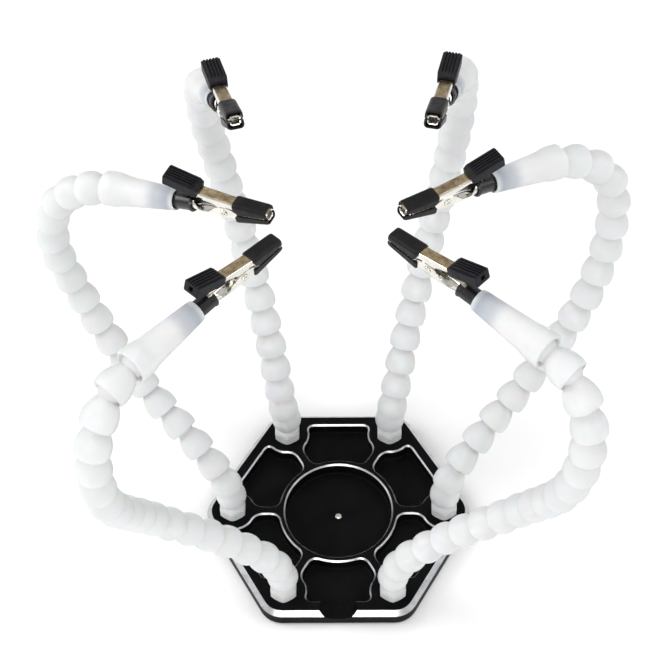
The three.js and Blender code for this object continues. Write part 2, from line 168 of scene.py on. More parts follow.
# Each arm: the direction of its boss in degrees, the curve its hose follows and the point its clip reaches.
ARMS = {
    "back_right": (
        60,
        [(31, 49, 47), (37, 65, 81), (50, 92, 138), (58, 97, 190), (61, 92, 232), (60, 85, 256),
         (57, 70, 272)],
        (42, 1, 312),
    ),
    "back_left": (
        120,
        [(-31, 48, 47), (-37, 62, 91), (-48, 84, 142), (-57, 89, 192), (-62, 84, 236), (-61, 77, 258),
         (-57, 62, 274)],
        (-39, -3, 317),
    ),
    "mid_right": (
        0,
        [(61, 0, 46), (77, 13, 66), (100, 30, 91), (126, 44, 140), (136, 56, 184), (130, 58, 218),
         (107, 49, 237)],
        (32, 4, 254),
    ),
    "mid_left": (
        180,
        [(-61, -2, 46), (-77, 9, 68), (-101, 28, 90), (-127, 47, 134), (-139, 53, 178), (-131, 50, 211),
         (-109, 39, 232)],
        (-29, 2, 254),
    ),
    "front_right": (
        -60,
        [(34, -54, 48), (57, -59, 82), (86, -70, 123), (104, -90, 176), (108, -91, 214), (104, -86, 234),
         (95, -76, 247)],
        (33, -17, 253),
    ),
    "front_left": (
        -120,
        [(-34, -54, 48), (-56, -60, 80), (-86, -74, 124), (-100, -98, 178), (-101, -99, 212), (-97, -94, 232),
         (-88, -82, 246)],
        (-31, -20, 252),
    ),
}

UP = Vector((0, 0, 1))


# ---- curves ----

def knot_curve(points, start, share):
    """A point on the centripetal curve between points[start] and the next one."""
    p1, p2 = points[start], points[start + 1]
    p0 = points[start - 1] if start > 0 else p1 * 2 - p2
    p3 = points[start + 2] if start + 2 < len(points) else p2 * 2 - p1
    d0, d1, d2 = (math.sqrt((b - a).length) for a, b in ((p0, p1), (p1, p2), (p2, p3)))
    leave = ((p1 - p0) / d0 - (p2 - p0) / (d0 + d1) + (p2 - p1) / d1) * d1
    arrive = ((p2 - p1) / d1 - (p3 - p1) / (d1 + d2) + (p3 - p2) / d2) * d1
    cubic = p1 * 2 - p2 * 2 + leave + arrive
    square = p2 * 3 - p1 * 3 - leave * 2 - arrive
    return ((cubic * share + square) * share + leave) * share + p1


def ball_centres(boss, route, reach):
    """The ball centres of an arm, one pitch apart along its route."""
    angle = math.radians(boss)
    first = Vector((BOSS_CIRCLE * math.cos(angle), BOSS_CIRCLE * math.sin(angle), PLATE_TOP + BALL_HEIGHT))
    points = [first] + [Vector(p) for p in route]
    points += [points[-1].lerp(Vector(reach), STRAIGHT_SHARE), Vector(reach)]
    spans = len(points) - 1
    samples = []
    for i in range(CURVE_STEPS + 1):
        at = spans * i / CURVE_STEPS
        start = min(int(at), spans - 1)
        samples.append(knot_curve(points, start, at - start))
    centres = []
    travelled = 0.0
    for a, b in zip(samples, samples[1:]):
        step = (b - a).length
        while len(centres) <= BEADS and travelled + step >= len(centres) * PITCH:
            centres.append(a.lerp(b, (len(centres) * PITCH - travelled) / step))
        travelled += step
    return centres


def frame_along(origin, direction):
    return Matrix.Translation(origin) @ UP.rotation_difference(direction).to_matrix().to_4x4()


def clip_frame(origin, direction):
    """X along the nozzle, Z as near upwards as it can be."""
    x = direction.normalized()
    y = UP.cross(x).normalized()
    z = x.cross(y)
    turn = Matrix((x, y, z)).transposed().to_4x4()
    return Matrix.Translation(origin) @ turn


def level(points, x):
    """Straight-line interpolation in a list of (x, value)."""
    for (x0, v0), (x1, v1) in zip(points, points[1:]):
        if x <= x1:
            return v0 + (v1 - v0) * max(0.0, x - x0) / (x1 - x0)
    return points[-1][1]


# ---- shapes: a list of points in millimetres and a list of faces ----

def loft(rings, loop=False, round_ring=True, capped=False):
    """Faces between successive rings of equal length."""
    size = len(rings[0])
    points = [Vector(p) for ring in rings for p in ring]
    faces = []
    for k in range(len(rings) if loop else len(rings) - 1):
        a, b = k * size, (k + 1) % len(rings) * size
        for i in range(size if round_ring else size - 1):
            j = (i + 1) % size
            faces.append((a + i, a + j, b + j, b + i))
    if capped:
        faces.append(tuple(range(size))[::-1])
        faces.append(tuple(range((len(rings) - 1) * size, len(rings) * size)))
    return points, faces


def turned(profile, sides=TURNED_SIDES):
    """A closed profile of (radius, height) turned about Z."""
    angles = [2 * math.pi * i / sides for i in range(sides)]
    return loft([[(r * math.cos(a), r * math.sin(a), z) for a in angles] for r, z in profile], loop=True)


def tube(path, radius, sides=10):
    """A round wire along a path, closed at both ends."""
    rings = []
    side = None
    for i, p in enumerate(path):
        ahead = (path[min(i + 1, len(path) - 1)] - path[max(i - 1, 0)]).normalized()
        side = (side or ahead.orthogonal()).normalized()
        side = (side - ahead * side.dot(ahead)).normalized()
        across = ahead.cross(side)
        angles = [2 * math.pi * k / sides for k in range(sides)]
        rings.append([p + (side * math.cos(a) + across * math.sin(a)) * radius for a in angles])
    return loft(rings, capped=True)


def joined(shapes):
    points, faces = [], []
    for more_points, more_faces in shapes:
        faces += [tuple(i + len(points) for i in face) for face in more_faces]
        points += more_points
    return points, faces


def placed(shape, matrix):
    return [matrix @ p for p in shape[0]], shape[1]


def box(low, high):
    low, high = Vector(low), Vector(high)
    rings = []
    for z in (low.z, high.z):
        rings.append([(low.x, low.y, z), (high.x, low.y, z), (high.x, high.y, z), (low.x, high.y, z)])
    return loft(rings, capped=True)


def arc(centre, radius, start, end, steps):
    """Points of a circle's arc, between two angles in degrees."""
    angles = [math.radians(start + (end - start) * k / steps) for k in range(steps + 1)]
    return [(centre[0] + radius * math.cos(a), centre[1] + radius * math.sin(a)) for a in angles]


# ---- meshes and pieces ----

def make_mesh(name, shape):
    mesh = bpy.data.meshes.new(name)
    mesh.from_pydata([p * MM for p in shape[0]], [], shape[1])
    tidy = bmesh.new()
    tidy.from_mesh(mesh)
    bmesh.ops.remove_doubles(tidy, verts=tidy.verts, dist=MERGE_DISTANCE * MM)
    bmesh.ops.dissolve_degenerate(tidy, edges=tidy.edges, dist=SHORTEST_EDGE * MM)
    bmesh.ops.recalc_face_normals(tidy, faces=tidy.faces)
    tidy.to_mesh(mesh)
    tidy.free()
    return mesh


def finished(mesh, materials, sharp=32):
    """Smooth shading with crisp edges, and the materials a mesh wears."""
    mesh.shade_smooth()
    mesh.set_sharp_from_angle(angle=math.radians(sharp))
    for material in materials:
        mesh.materials.append(material)
    return mesh


def changed(mesh, modifiers):
    """The mesh after some modifiers, each given as (type, settings)."""
    holder = bpy.data.objects.new("holder", mesh)
    bpy.context.scene.collection.objects.link(holder)
    for kind, settings in modifiers:
        modifier = holder.modifiers.new(kind, kind)
        for key, value in settings.items():
            setattr(modifier, key, value)
    seen = holder.evaluated_get(bpy.context.evaluated_depsgraph_get())
    made = bpy.data.meshes.new_from_object(seen)
    bpy.data.objects.remove(holder)
    return made


def cut(mesh, cutter_shape):
    """The mesh with a shape taken out of it."""
    cutter = bpy.data.objects.new("cutter", make_mesh("cutter", cutter_shape))
    bpy.context.scene.collection.objects.link(cutter)
    made = changed(mesh, [("BOOLEAN", {"operation": "DIFFERENCE", "solver": "EXACT", "object": cutter})])
    bpy.data.objects.remove(cutter)
    return made


def piece(name, mesh, body, slot, matrix=None, stands_for=()):
    """An object on a CAD body, placed by a frame in millimetres."""
    made = bpy.data.objects.new(name, mesh)
    bpy.context.scene.collection.objects.link(made)
    if matrix is not None:
        place = matrix.copy()
        place.translation = matrix.translation * MM
        made.matrix_world = place
    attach(made, body)
    if stands_for:
        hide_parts(*stands_for)


def sprung_piece(name, clip):
    """A spring placed in its clip's rest frame, with that placement baked into its mesh."""
    mesh = finished(make_mesh(f"spring_{name}", placed(spring(), clip)), [LOOKS["spring"]], sharp=60)
    made = bpy.data.objects.new(f"spring_{name}_finish", mesh)
    bpy.context.scene.collection.objects.link(made)
    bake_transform(made)


# ---- materials ----

def surfaced(name, colours, patch, roughness, grain, relief, stretch=(1, 1, 1), **sockets):
    """A Principled material whose colour, roughness and relief each follow their own noise.
    patch and grain are the sizes of the colour and surface features in millimetres."""
    made = bpy.data.materials.new(name)
    made.use_nodes = True
    nodes, links = made.node_tree.nodes, made.node_tree.links
    shader = nodes["Principled BSDF"]
    place = nodes.new("ShaderNodeTexCoord")
    scale = nodes.new("ShaderNodeMapping")
    scale.inputs["Scale"].default_value = stretch
    links.new(place.outputs["Object"], scale.inputs["Vector"])

    def noise(size, detail):
        node = nodes.new("ShaderNodeTexNoise")
        node.inputs["Scale"].default_value = 1 / (size * MM)
        node.inputs["Detail"].default_value = detail
        links.new(scale.outputs["Vector"], node.inputs["Vector"])
        return node.outputs["Fac"]

    ramp = nodes.new("ShaderNodeValToRGB")
    for stop, at, colour in zip(ramp.color_ramp.elements, COLOUR_STOPS, colours):
        stop.position = at
        stop.color = (*colour, 1)
    links.new(noise(patch, 3), ramp.inputs["Fac"])
    links.new(ramp.outputs["Color"], shader.inputs["Base Color"])
    spread = nodes.new("ShaderNodeMapRange")
    spread.inputs["From Min"].default_value, spread.inputs["From Max"].default_value = ROUGHNESS_SPAN
    spread.inputs["To Min"].default_value, spread.inputs["To Max"].default_value = roughness
    links.new(noise(patch * ROUGHNESS_SCALE, 4), spread.inputs["Value"])
    links.new(spread.outputs["Result"], shader.inputs["Roughness"])
    bump = nodes.new("ShaderNodeBump")
    bump.inputs["Strength"].default_value = relief
    bump.inputs["Distance"].default_value = RELIEF_HEIGHT * MM
    links.new(noise(grain, 2), bump.inputs["Height"])
    links.new(bump.outputs["Normal"], shader.inputs["Normal"])
    for socket, value in sockets.items():
        shader.inputs[socket.replace("_", " ")].default_value = value
    return made


def anodised_material():
    return surfaced(
        "black_anodised", [(0.0022, 0.0022, 0.0026), (0.0045, 0.0045, 0.005)], 14, (0.38, 0.5), 0.35, 0.12,
        **{"Specular_IOR_Level": 0.05},
    )


def cut_metal_material():
    return surfaced(
        "bright_cut_metal", [(0.46, 0.47, 0.49), (0.66, 0.66, 0.68)], 5, (0.26, 0.42), 0.25, 0.12,
        Metallic=1.0,
    )


def rubber_material():
    return surfaced("pad_rubber", [(0.012, 0.012, 0.012), (0.022, 0.022, 0.022)], 5, (0.75, 0.9), 0.5, 0.6)


def frosted_material(name="frosted_plastic"):
    return surfaced(
        name, [(0.91, 0.915, 0.92), (0.97, 0.972, 0.975)], 9, (0.34, 0.5), 0.6, 0.25,
        **{"Transmission_Weight": 0.42, "IOR": 1.46, "Specular_IOR_Level": 0.45,
           "Subsurface_Weight": 0.25, "Subsurface_Scale": 0.003},
    )


def plug_shaded_nozzle_material():
    """Frosted plastic with painted shade near the tip, standing for the black plug inside seen through the
    plastic.
    """
    made = frosted_material("frosted_nozzle_painted_plug_shade")
    nodes, links = made.node_tree.nodes, made.node_tree.links
    base_colour = nodes["Principled BSDF"].inputs["Base Color"]
    plain = base_colour.links[0].from_socket
    place = nodes.new("ShaderNodeTexCoord")
    axes = nodes.new("ShaderNodeSeparateXYZ")
    links.new(place.outputs["Object"], axes.inputs["Vector"])
    along = nodes.new("ShaderNodeMapRange")
    along.inputs["From Max"].default_value = NOZZLE_LENGTH * MM
    links.new(axes.outputs["Z"], along.inputs["Value"])
    shadow = nodes.new("ShaderNodeValToRGB")
    shadow.color_ramp.interpolation = "EASE"
    stops = shadow.color_ramp.elements
    while len(stops) < len(PLUG_SHADOW):
        stops.new(1)
    for stop, (at, value) in zip(stops, PLUG_SHADOW):
        stop.position = at
        stop.color = (value, value, value, 1)
    links.new(along.outputs["Result"], shadow.inputs["Fac"])
    # Mixes the painted plug shade into the plastic's own colour.
    mixed = nodes.new("ShaderNodeMixRGB")
    mixed.inputs["Color2"].default_value = (*PLUG_SHADOW_COLOUR, 1)
    links.new(shadow.outputs["Color"], mixed.inputs["Fac"])
    links.new(plain, mixed.inputs["Color1"])
    links.new(mixed.outputs["Color"], base_colour)
    return made


def nickel_material():
    return surfaced(
        "nickel_plate", [(0.70, 0.68, 0.62), (0.86, 0.84, 0.79)], 3, (0.12, 0.28), 0.3, 0.16,
        stretch=(0.35, 1, 1), Metallic=1.0,
    )


# A darker, warmer copy of the nickel, painted on the moving jaw's upward faces as shade from how the light
# falls on them.
def painted_shade_nickel_material():
    return surfaced(
        "painted_shade_nickel_strip", [(0.30, 0.22, 0.12), (0.62, 0.50, 0.33)], 2.6, (0.2, 0.38), 0.3, 0.2,
        stretch=(0.6, 1, 1), Metallic=1.0,
    )


def spring_material():
    return surfaced(
        "spring_steel", [(0.42, 0.40, 0.36), (0.62, 0.60, 0.56)], 1.2, (0.18, 0.32), 0.2, 0.1,
        Metallic=1.0,
    )


def vinyl_material():
    return surfaced(
        "black_vinyl_sleeve", [(0.004, 0.0035, 0.004), (0.010, 0.009, 0.0095)], 4, (0.3, 0.48), 0.4, 0.3,
        **{"Specular_IOR_Level": 0.2},
    )


def plug_material():
    return surfaced(
        "black_gloss_plug", [(0.004, 0.004, 0.005), (0.009, 0.009, 0.011)], 3, (0.22, 0.34), 0.3, 0.15,
        **{"Specular_IOR_Level": 0.5},
    )


def grip_material():
    return surfaced(
        "moulded_grip", [(0.004, 0.004, 0.006), (0.010, 0.010, 0.014)], 2.5, (0.42, 0.6), 0.25, 0.45,
        **{"Specular_IOR_Level": 0.2},
    )


# ---- base ----

def rounded(sides, trim, corner_steps):
    """Samples the sides of an outline, cutting each back by trim and rounding the corners between them."""
    points = []
    for i, (length, steps, at) in enumerate(sides):
        next_length, _, next_at = sides[(i + 1) % len(sides)]
        share = trim / length
        points += [at(share + (1 - 2 * share) * k / steps) for k in range(steps + 1)]
        start, corner, end = at(1 - share), at(1), next_at(trim / next_length)
        for k in range(1, corner_steps):
            t = k / corner_steps
            points.append(start * (1 - t) ** 2 + corner * 2 * t * (1 - t) + end * t ** 2)
    return points


def straight_side(a, b):
    return (b - a).length, 1, lambda t: a.lerp(b, t)


def arc_side(centre, radius, start, end, steps):
    def at(t):
        angle = start + (end - start) * t
        return centre + Vector((math.cos(angle), math.sin(angle))) * radius

    return radius * abs(end - start), steps, at


def hexagon_outline(radius):
    corners = circle_outline(radius, 6)
    sides = [straight_side(a, b) for a, b in zip(corners, corners[1:] + corners[:1])]
    return rounded(sides, PLATE_ROUNDING, corner_steps=10)


def grown(outline, distance):
    """The outline moved outwards, or inwards when the distance is negative."""
    area = sum(a.cross(b) for a, b in zip(outline, outline[1:] + outline[:1]))
    turn = 1 if area > 0 else -1
    made = []
    for i, point in enumerate(outline):
        before = (point - outline[i - 1]).normalized()
        after = (outline[(i + 1) % len(outline)] - point).normalized()
        normal = Vector((before.y + after.y, -before.x - after.x)).normalized() * turn
        stretch = max(0.5, normal.dot(Vector((before.y, -before.x)) * turn))
        made.append(point + normal * distance / stretch)
    return made


def stacked(outline, levels):
    """A solid through outlines grown by given amounts at given heights."""
    return loft([[(p.x, p.y, z) for p in grown(outline, more)] for more, z in levels], capped=True)


def pocket_outline():
    half = math.pi / 6
    boss = Vector((BOSS_CIRCLE * math.sin(half), BOSS_CIRCLE * math.cos(half)))
    wall = SPOKE_WALL / 2

    def on_spoke(along):
        return Vector((
            along * math.sin(half) - wall * math.cos(half),
            along * math.cos(half) + wall * math.sin(half),
        ))

    def mirror(p):
        return Vector((-p.x, p.y))

    bite_start = on_spoke(BOSS_CIRCLE - math.sqrt(BOSS_BITE ** 2 - wall ** 2))
    inner = on_spoke(math.sqrt(POCKET_INNER_RADIUS ** 2 - wall ** 2))
    outer = Vector((boss.x - math.sqrt(BOSS_BITE ** 2 - (POCKET_OUTER - boss.y) ** 2), POCKET_OUTER))
    bite_from = math.atan2(bite_start.y - boss.y, bite_start.x - boss.x) + 2 * math.pi
    bite_to = math.atan2(outer.y - boss.y, outer.x - boss.x)
    inner_angle = math.atan2(inner.y, inner.x)
    sides = [
        straight_side(inner, bite_start),
        arc_side(boss, BOSS_BITE, bite_from, bite_to, 10),
        straight_side(outer, mirror(outer)),
        arc_side(mirror(boss), BOSS_BITE, math.pi - bite_to, math.pi - bite_from, 10),
        straight_side(mirror(bite_start), mirror(inner)),
        arc_side(Vector((0, 0)), POCKET_INNER_RADIUS, math.pi - inner_angle, inner_angle, 20),
    ]
    return rounded(sides, POCKET_TRIM, corner_steps=8)


def well(outline, floor):
    """The space of a pocket: a filleted floor, straight walls and a chamfer at the top."""
    return stacked(outline, [
        (-FLOOR_FILLET, floor),
        (-FLOOR_FILLET * 0.3, floor + FLOOR_FILLET * 0.3),
        (0, floor + FLOOR_FILLET),
        (0, PLATE_TOP - CUT_LIP),
        (CUT_LIP, PLATE_TOP),
        (CUT_LIP * 1.5, PLATE_TOP + CUT_LIP * 0.5),
    ])


def circle_outline(radius, sides):
    angles = [2 * math.pi * k / sides for k in range(sides)]
    return [Vector((radius * math.cos(a), radius * math.sin(a))) for a in angles]


def scoop():
    """The round-bottomed groove in the front rim, as a cylinder lying along Y."""
    rings = []
    for y in (-PLATE_CORNER_RADIUS, SCOOP_END):
        rings.append([(p.x, y, SCOOP_HEIGHT + p.y) for p in circle_outline(SCOOP_RADIUS, sides=96)])
    return loft(rings, capped=True)


def is_bright(face):
    """Whether a face of the base plate is part of a cut chamfer."""
    x, y, z = face.center / MM
    in_scoop = y < SCOOP_END and math.hypot(x, z - SCOOP_HEIGHT) < SCOOP_RADIUS + SCOOP_MARGIN
    sloping = CHAMFER_SLOPE[0] < face.normal.z < CHAMFER_SLOPE[1]
    return sloping and z > PLATE_TOP - RIM_CHAMFER and not in_scoop


def base_plate():
    mesh = make_mesh("base_plate_body", stacked(hexagon_outline(PLATE_CORNER_RADIUS), [
        (-BOTTOM_CHAMFER, PLATE_BOTTOM),
        (0, PLATE_BOTTOM + BOTTOM_CHAMFER),
        (0, PLATE_TOP - RIM_CHAMFER),
        (-RIM_CHAMFER, PLATE_TOP),
    ]))
    pocket = well(pocket_outline(), POCKET_FLOOR)
    cutters = [placed(pocket, Matrix.Rotation(k * math.pi / 3, 4, "Z")) for k in range(6)]
    cutters.append(well(circle_outline(TRAY_RADIUS, sides=120), TRAY_FLOOR))
    stud_circle = circle_outline(STUD_HOLE_RADIUS, sides=32)
    hole = stacked(stud_circle, [(0, STUD_HOLE_FLOOR), (0, PLATE_TOP + 1)])
    for boss, _, _ in ARMS.values():
        turn = Matrix.Rotation(math.radians(boss), 4, "Z")
        cutters.append(placed(hole, turn @ Matrix.Translation((BOSS_CIRCLE, 0, 0))))
    cutters.append(scoop())
    cutters.append(stacked(circle_outline(SCREW_HOLE_RADIUS, sides=24), [(0, 0), (0, PLATE_TOP)]))
    for cutter in cutters:
        mesh = cut(mesh, cutter)
    finished(mesh, [LOOKS["anodised"], LOOKS["cut_metal"]], sharp=20)
    for face in mesh.polygons:
        face.material_index = int(is_bright(face))
    return mesh


def foot_pad():
    outline = hexagon_outline(PLATE_CORNER_RADIUS - PAD_INSET)
    return stacked(outline, [(-0.35, 0), (0, 0.3), (0, 0.75), (-0.25, 1)])


def centre_screw():
    head = TRAY_FLOOR + GAP
    shape = turned([
        (0, PLATE_BOTTOM + GAP), (0.9, PLATE_BOTTOM + GAP), (1.1, PLATE_BOTTOM + 0.6), (1.1, head),
        (1.9, head), (1.9, head + 0.3), (1.7, head + 0.7), (1.3, head + 0.9), (0, head + 0.9),
    ])
    socket = stacked(circle_outline(SCREW_SOCKET_RADIUS, sides=6), [(0, head + 0.3), (0, head + 2)])
    return cut(make_mesh("screw_body", shape), socket)


# ---- hose pieces, each turned about Z with a ball centre at the origin ----

def ball_profile(height, bore_end):
    """The upper part of a neck, its ball and the start of the bore, from outside to inside."""
    low = -math.degrees(math.acos(NECK_RADIUS / BALL_RADIUS))
    high = math.degrees(math.acos(BORE_RADIUS / BALL_RADIUS))
    inner = BORE_RADIUS - MOUTH_FLARE
    bore = [(inner, height + MOUTH_HEIGHT), (inner, bore_end)]
    return arc((0, height), BALL_RADIUS, low, high, 12) + bore


def cup_profile():
    """The inside of a socket, from its top down to the flare at the rim."""
    top = math.degrees(math.acos(BORE_RADIUS / CUP_RADIUS))
    return arc((0, 0), CUP_RADIUS, top, CUP_LOW_ANGLE, 9) + [(CUP_RIM_RADIUS, -RIM_DROP)]


def bead():
    outside = [
        (7.4, -RIM_DROP), (7.7, -3.15), (8.0, -2.2), (8.15, -1.1), (BEAD_RADIUS, 0.2), (8.12, 1.6),
        (7.85, 3.1), (7.4, 4.6), (6.85, 6.0), (6.25, 7.3), (5.6, 8.5), (5.0, 9.4), (4.55, 10.0),
    ]
    return turned(outside + ball_profile(PITCH, BORE_END) + cup_profile())


def nozzle():
    outside = [
        (7.85, -RIM_DROP), (BEAD_RADIUS, -3.05), (BEAD_RADIUS, 1.9), (8.1, 3.0), (7.8, 4.4), (7.4, 6.2),
        (7.1, 8.2), (6.85, 11), (6.45, 16.5), (6.0, 22.5), (5.6, 28), (5.25, 33.4), (5.15, 34.5),
        (4.95, NOZZLE_LENGTH),
    ]
    inside = [(4.6, NOZZLE_LENGTH), (4.45, 34.7), (4.45, 21.9), (3.4, 20.9), (3.2, 9), (2.8, BORE_END)]
    return turned(outside + inside + cup_profile())


def hexagon_ring(radius, limit, z, sides=48):
    """A ring whose radius follows a hexagon with corners on Y, rounded off at a limit."""
    flat = radius * math.cos(math.pi / 6)
    ring = []
    for k in range(sides):
        angle = 2 * math.pi * k / sides
        away = (angle + math.pi / 6) % (math.pi / 3) - math.pi / 6
        reach = min(limit, flat / math.cos(away))
        ring.append((reach * math.cos(angle), reach * math.sin(angle), z))
    return ring


def fitting():
    """A hexagonal nut on its stud, with a neck and a ball above it."""
    foot = PLATE_TOP + GAP
    top = foot + HEX_HEIGHT
    stud = [(4.6, STUD_BOTTOM), (5.0, STUD_BOTTOM + 0.5), (5.0, foot)]
    nut = [(7.2, foot), (HEX_CORNER, foot + 0.5), (HEX_CORNER, top - 0.8), (7.0, top)]
    neck = [(6.6, top + 0.05), (6.6, top + 0.7), (6.2, top + 1.2), (5.2, top + 2.2), (4.6, top + 3.2)]
    ball = ball_profile(PLATE_TOP + BALL_HEIGHT, STUD_BOTTOM)

    def ring(radius, z):
        return hexagon_ring(2 * radius, radius, z)

    rings = [ring(radius, z) for radius, z in stud]
    rings += [hexagon_ring(HEX_RADIUS, corner, z) for corner, z in nut]
    rings += [ring(radius, z) for radius, z in neck + ball]
    return loft(rings, loop=True)


def hose_run(centres, first, last):
    one = bead()
    places = [frame_along(centres[i], centres[i + 1] - centres[i]) for i in range(first, last)]
    return joined([placed(one, place) for place in places])


# ---- clip pieces ----

def tooth(x, edge):
    """An edge height with saw teeth between the start and end of the toothed part."""
    if TEETH_START <= x <= TEETH_END and round((x - TEETH_START) / (TOOTH_PITCH / 2)) % 2:
        return edge - TOOTH_DEPTH
    return edge


def stations(start, end):
    """Positions along a jaw that always include the tooth tips and roots."""
    step = TOOTH_PITCH / 2
    first = math.ceil((start - TEETH_START) / step + 0.01)
    last = math.floor((end - TEETH_START) / step - 0.01)
    return [start] + [TEETH_START + k * step for k in range(first, last + 1)] + [end]


def channel(xs, floor, edge, half, corner, curl=None):
    """A folded sheet, open upwards: its floor, two rounded corners and two sides, given along x.
    curl rolls the sides' edges inwards by an angle."""
    rings = []
    for x in xs:
        low, high, wide = level(floor, x), edge(x), level(half, x)
        bend = max(0.15, min(level(corner, x), high - low - 0.1))
        side = [(wide * k / 3 * (1 - bend / wide), low) for k in range(3)]
        side += arc((wide - bend, low + bend), bend, -90, 0, 6)
        side += [(wide, low + bend + (high - low - bend) * k / 4) for k in range(1, 5)]
        rolled = level(curl, x) if curl else 0
        if rolled > 1:
            side += arc((0, high), wide, 0, rolled, 6)[1:]
        elif curl:
            side += [(wide, high)] * 6
        whole = [(-y, z) for y, z in side[:0:-1]] + side
        rings.append([(x, y, z) for y, z in whole])
    return loft(rings, round_ring=False)


def sheet_mesh(name, shape, thickness):
    mesh = changed(make_mesh(name, shape), [("SOLIDIFY", {"thickness": thickness * MM, "offset": 0.0})])
    tidy = bmesh.new()
    tidy.from_mesh(mesh)
    bmesh.ops.recalc_face_normals(tidy, faces=tidy.faces)
    tidy.to_mesh(mesh)
    tidy.free()
    return mesh


def add_shape(mesh, shape):
    """Adds another closed shape to a mesh."""
    both = bmesh.new()
    both.from_mesh(mesh)
    both.from_mesh(make_mesh("added", shape))
    both.to_mesh(mesh)
    both.free()


def ear(side):
    """A pivot ear on one side of the moving jaw, with the strip that joins it to the jaw's wall."""
    outline = [(22.2, 4.6), (22.6, 1.0), (23.2, -1.2), (24.2, -2.1), (25.4, -2.5), (27, -2.3), (27.9, -1.9),
               (28.7, -1.0), (29.3, 0.2), (29.6, 3.9)]
    plate = loft([[(x, side * y, z) for x, z in outline] for y in (EAR_INSIDE, EAR_OUTSIDE)], capped=True)
    near, far = sorted(side * y for y in EAR_STRIP)
    strip = box((23.2, near, 3.62), (29.3, far, 3.95))
    return joined([plate, strip])


def upside_down(shape):
    return placed(shape, Matrix.Scale(-1, 4, UP))


def fixed_jaw():
    floor = [(BARREL_START, -2.7), (13, -2.7), (15, -2.8), (21, -3.35), (33, -3.95), (44, -3.1), (47.2, -2.5),
             (JAW_END, -1.7)]
    ears = [(BARREL_START, 0), (11, 0), (13, -0.9), (15, -1.5), (17.5, -1.3), (20, 0.2), (21.5, 1.4),
            (23.5, 2.1), (28.5, 2.1), (30.5, 1.6), (32, 0.4), (33, -0.45), (JAW_END, -0.45)]
    half = [(BARREL_START, 2.7), (13, 2.7), (22, 2.75), (44, 2.75), (47, 2.4), (JAW_END, 2.0)]
    corner = [(BARREL_START, 2.69), (12, 2.69), (15, 1.2), (20, 0.8), (JAW_END, 0.8)]
    curl = [(BARREL_START, 66), (10, 66), (12.4, 0), (JAW_END, 0)]
    shape = channel(
        stations(BARREL_START, JAW_END), floor, lambda x: tooth(x, level(ears, x)), half, corner, curl=curl,
    )
    return sheet_mesh("fixed_jaw_body", shape, SHEET)


def moving_jaw():
    top = [(TAIL_START, -13.76), (14.8, -8.74), (34, -4.45), (44, -3.05), (47.2, -2.4), (JAW_END, -1.6)]
    sides = [(TAIL_START, -13.1), (13, -8.75), (14.8, -7.5), (20, -5.2), (24, -3.1), (29, -3.1), (32, -2.0),
             (33, -0.5), (JAW_END, -0.5)]
    half = [(TAIL_START, 2.7), (15, 2.75), (44, 2.75), (47, 2.4), (JAW_END, 2.0)]
    corner = [(TAIL_START, 0.3), (14, 0.3), (18, 0.7), (JAW_END, 0.7)]
    shape = channel(
        stations(TAIL_START, JAW_END), top, lambda x: tooth(x, level(sides, x)), half, corner,
    )
    mesh = sheet_mesh("moving_jaw_body", upside_down(shape), SHEET)
    for side in (-1, 1):
        add_shape(mesh, ear(side))
    finished(mesh, [LOOKS["nickel"], LOOKS["painted_shade_nickel"]])
    # Faces that point up get the darker, warmer copy of the nickel: painted shade.
    for face in mesh.polygons:
        face.material_index = int(face.normal.z > UPWARD)
    return mesh


def sleeve(floor, edge):
    """A soft sleeve round the outside of a jaw's toothed end."""
    half = [(SLEEVE_START, 3.5), (32.5, 3.6), (47.5, 3.4), (SLEEVE_END, 3.2)]
    corner = [(SLEEVE_START, 1.4), (SLEEVE_END, 1.4)]
    return channel(stations(SLEEVE_START, SLEEVE_END), floor, lambda x: level(edge, x), half, corner)


def fixed_sleeve():
    floor = [(SLEEVE_START, -4.8), (32.5, -4.95), (48, -3.4), (SLEEVE_END, -3.2)]
    edge = [(SLEEVE_START, -1.5), (33, -0.65), (SLEEVE_END, -0.6)]
    return sheet_mesh("fixed_sleeve_body", sleeve(floor, edge), SLEEVE_WALL)


def moving_sleeve():
    top = [(SLEEVE_START, -5.35), (32.5, -5.5), (48, -3.55), (SLEEVE_END, -3.35)]
    edge = [(SLEEVE_START, -2.8), (33.6, -0.7), (SLEEVE_END, -0.6)]
    return sheet_mesh("moving_sleeve_body", upside_down(sleeve(top, edge)), SLEEVE_WALL)


def plug():
    """The black end cap that the clip's barrel is pressed into, with a notch over the barrel's seam."""
    shape = turned([
        (0, -12.5), (3.4, -12.5), (3.85, -12.2), (4.0, -11.7), (4.0, 7.9), (4.1, 8.2), (4.35, 8.4),
        (4.4, 8.9), (4.2, 9.3), (3.5, 9.3), (3.3, 9.0), (3.3, 4.2), (0, 4.2),
    ])
    lying = placed(shape, Matrix.Rotation(math.pi / 2, 4, "Y"))
    notch = box((6.4, -1.6, 2.2), (10, 1.6, 6))
    return cut(make_mesh("plug_body", lying), notch)


def rivet():
    """A hollow rivet through both jaws."""
    end = [(0.7, 3.1), (0.85, 3.45), (1.25, 3.6), (1.65, 3.5), (1.8, 3.25), (1.75, 3.08), (1.1, 3.05)]
    profile = end + [(r, -z) for r, z in end[::-1]]
    shape = turned(profile, sides=24)
    return placed(shape, Matrix.Translation(PIVOT) @ Matrix.Rotation(math.pi / 2, 4, "X"))


def spring():
    """A torsion spring round the rivet, one leg under the lever and one in the fixed jaw's tail."""
    turns = 3.5
    radius = 1.75
    spread_y = 1.15
    wire_radius = 0.32
    steps = 84
    path = [Vector((17.6, spread_y, 6.9)), Vector((19.5, spread_y, 5.6)), Vector((23, spread_y, 3.2))]
    for k in range(steps + 1):
        angle = math.pi / 2 - 2 * math.pi * turns * k / steps
        y = spread_y * (1 - 2 * k / steps)
        path.append(PIVOT + Vector((radius * math.cos(angle), y, radius * math.sin(angle))))
    path += [Vector((22, -spread_y, -2.45)), Vector((19, -spread_y, -2.3)), Vector((16.8, -spread_y, -2.1))]
    return tube(path, wire_radius)


